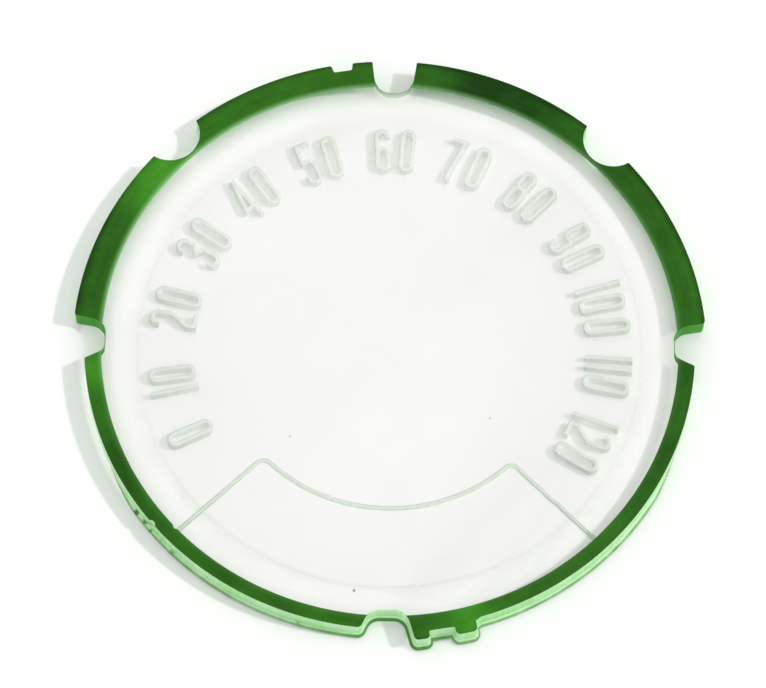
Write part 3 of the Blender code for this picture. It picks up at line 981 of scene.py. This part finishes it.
def build_plate(home, pane, edges, boss, groove, line):
    """The clear plate with its foot, boss, numerals and window line."""
    low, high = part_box("dial_lens")
    back, front = low.z / MM, high.z / MM
    rings = plate_rings(back, front)
    slots = [CLEAR] + [WALL] * (len(rings) - 1) + [CLEAR]
    plate = build_object("lens_plate", loft(rings, slots), home, pane, *edges)
    for face in plate.data.polygons:
        if face.material_index == WALL:
            face.material_index = wall_kind(*(face.center / MM), back + FOOT_TOP)
    add_boss(plate, back, boss)
    cut_grooves(plate, back, groove, line)
    shade(plate)
    return plate


def coat_rings(outline, bottom, top):
    """Rings up one stretch of coat, which stands out past the rim by a hair and has a rounded top edge."""
    rings = [(offset_path(outline, -COAT_OVERHANG, True), bottom)]
    for inset, drop in COAT_ROUND:
        rings.append((offset_path(outline, inset - COAT_OVERHANG, True), top - drop))
    return rings


def build_coats(home, paint, underside):
    """The four stretches of coat, each standing for its CAD node."""
    made = []
    for node_name in ("upper_right", "upper_left", "lower_left", "lower_right"):
        low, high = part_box(f"green_coat_{node_name}")
        middle = (low + high) / 2
        outline = min(coat_outlines(plate_outline()), key=lambda loop: centre_gap(loop, middle))
        rings = coat_rings(outline, low.z / MM - COAT_SINK, high.z / MM)
        slots = [COAT_INSIDE] + [COAT_OUTSIDE] * len(rings)
        piece = build_object(f"coat_{node_name}", loft(rings, slots), home, paint, underside)
        shade(piece)
        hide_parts(f"green_coat_{node_name}")
        made.append(piece)
    return made


def centre_gap(loop, middle):
    """How far an outline's box is centred from a point in metres."""
    xs, ys = zip(*loop)
    centre = ((min(xs) + max(xs)) / 2, (min(ys) + max(ys)) / 2)
    return math.dist(centre, (middle.x / MM, middle.y / MM))


# Stage

FLOOR_HALF = 2000.0
FLOOR_GAP = 0.03
UNDER_PLATE_R = 67.3
CAMERA_AT = (-10.756, -365.069, 841.748)
CAMERA_TURN = (23.571, -0.832, 0.478)
CAMERA_LENS = 179.03
CAMERA_SENSOR = 36.0
CAMERA_CLIP = (50.0, 20000.0)
LAMP_SPREAD = 4.0
LAMP_ELEVATION = 46.0  # in the air, from the 3 o'clock side
LAMP_ELEVATION_BENT = 56.0  # the same light once the acrylic has bent it toward the vertical
LAMP_SHARE = 0.25  # of the floor's light
SKY = 0.93
BOUNCES = 16
DIFFUSE_BOUNCES = 6
CLEAR_BOUNCES = 14  # enough for light that runs to and fro inside the plate


def build_floor(name, outline, outer, height, surface):
    """A flat piece of floor: inside an outline, or from it to the outer corners if there are any."""
    made = bmesh.new()
    inner = [made.verts.new((x, y, 0.0)) for x, y in outline]
    if outer:
        loops = [inner, [made.verts.new((x, y, 0.0)) for x, y in outer]]
        edges = [made.edges.new((loop[i - 1], loop[i])) for loop in loops for i in range(len(loop))]
        bmesh.ops.triangle_fill(made, use_beauty=True, edges=edges)
    else:
        made.faces.new(inner)
    for face in made.faces:
        if face.normal.z < 0:
            face.normal_flip()
    bmesh.ops.scale(made, vec=(MM, MM, MM), verts=made.verts)
    mesh = bpy.data.meshes.new(name)
    made.to_mesh(mesh)
    made.free()
    mesh.materials.append(surface)
    floor = bpy.data.objects.new(name, mesh)
    floor.location.z = height
    bpy.context.scene.collection.objects.link(floor)
    floor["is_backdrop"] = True
    return floor


def build_lamp(name, elevation, lit):
    """A soft sun from the 3 o'clock side that lights only these objects. Its light on the floor is the same
    whatever its elevation."""
    up = math.radians(elevation)
    lamp = bpy.data.lights.new(name, "SUN")
    lamp.energy = LAMP_SHARE * math.pi / math.sin(up)
    lamp.angle = math.radians(LAMP_SPREAD)
    lamp.cycles.use_multiple_importance_sampling = False
    made = bpy.data.objects.new(name, lamp)
    bpy.context.scene.collection.objects.link(made)
    made.rotation_mode = "QUATERNION"
    made.rotation_quaternion = Vector((math.cos(up), 0.0, math.sin(up))).to_track_quat("Z", "Y")
    receivers = bpy.data.collections.new(f"{name}_lights")
    for receiver in lit:
        receivers.objects.link(receiver)
    made.light_linking.receiver_collection = receivers


def build_sky():
    world = bpy.data.worlds.new("sky")
    world.use_nodes = True
    background = world.node_tree.nodes["Background"]
    background.inputs["Color"].default_value = (1.0, 1.0, 1.0, 1.0)
    background.inputs["Strength"].default_value = SKY
    world.cycles.sampling_method = "NONE"
    bpy.context.scene.world = world


def build_camera():
    camera = bpy.data.cameras.new("camera")
    camera.lens = CAMERA_LENS
    camera.sensor_width = CAMERA_SENSOR
    camera.clip_start, camera.clip_end = [c * MM for c in CAMERA_CLIP]
    view = bpy.data.objects.new("camera", camera)
    view.location = [c * MM for c in CAMERA_AT]
    view.rotation_euler = Euler([math.radians(a) for a in CAMERA_TURN])
    bpy.context.scene.collection.objects.link(view)
    bpy.context.scene.camera = view


def build_stage(pieces):
    """Floor, lamps, sky and camera. Light inside the plate runs steeper than outside it, so the floor
    under the plate is a piece of its own with its own lamp."""
    low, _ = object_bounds()
    outline, surface = circle(UNDER_PLATE_R), floor_paint()
    far = FLOOR_HALF
    corners = ((far, far), (-far, far), (-far, -far), (far, -far))
    around = build_floor("floor", outline, corners, low.z - FLOOR_GAP * MM, surface)
    under = build_floor("floor_under_plate", outline, (), low.z - FLOOR_GAP * MM, surface)
    build_lamp("lamp", LAMP_ELEVATION, [around, *pieces])
    build_lamp("lamp_in_plate", LAMP_ELEVATION_BENT, [under])
    build_sky()
    build_camera()
    scene = bpy.context.scene
    scene.view_settings.view_transform = "Standard"
    scene.cycles.blur_glossy = 0.0
    scene.cycles.max_bounces = BOUNCES
    scene.cycles.diffuse_bounces = DIFFUSE_BOUNCES
    scene.cycles.glossy_bounces = CLEAR_BOUNCES
    scene.cycles.transmission_bounces = CLEAR_BOUNCES
    scene.cycles.transparent_max_bounces = BOUNCES


def main():
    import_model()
    home = collection("instrument_dial_lens")
    pane = acrylic("lens_clear_acrylic", PANE_TINT, PANE_LAMP)
    boss = acrylic("lens_boss_acrylic", BOSS_TINT, PANE_LAMP)
    groove = groove_acrylic(*NUMERAL_FROST)
    line = groove_acrylic(*WINDOW_FROST)
    edges = (wall_acrylic(), side_notch_acrylic(), foot_acrylic(), top_notch_acrylic())
    plate = build_plate(home, pane, edges, boss, groove, line)
    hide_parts("dial_lens")
    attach(plate, "root")
    coats = build_coats(home, coat_paint(), coat_underside())
    for coat in coats:
        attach(coat, "root")
    build_stage([plate, *coats])


main()
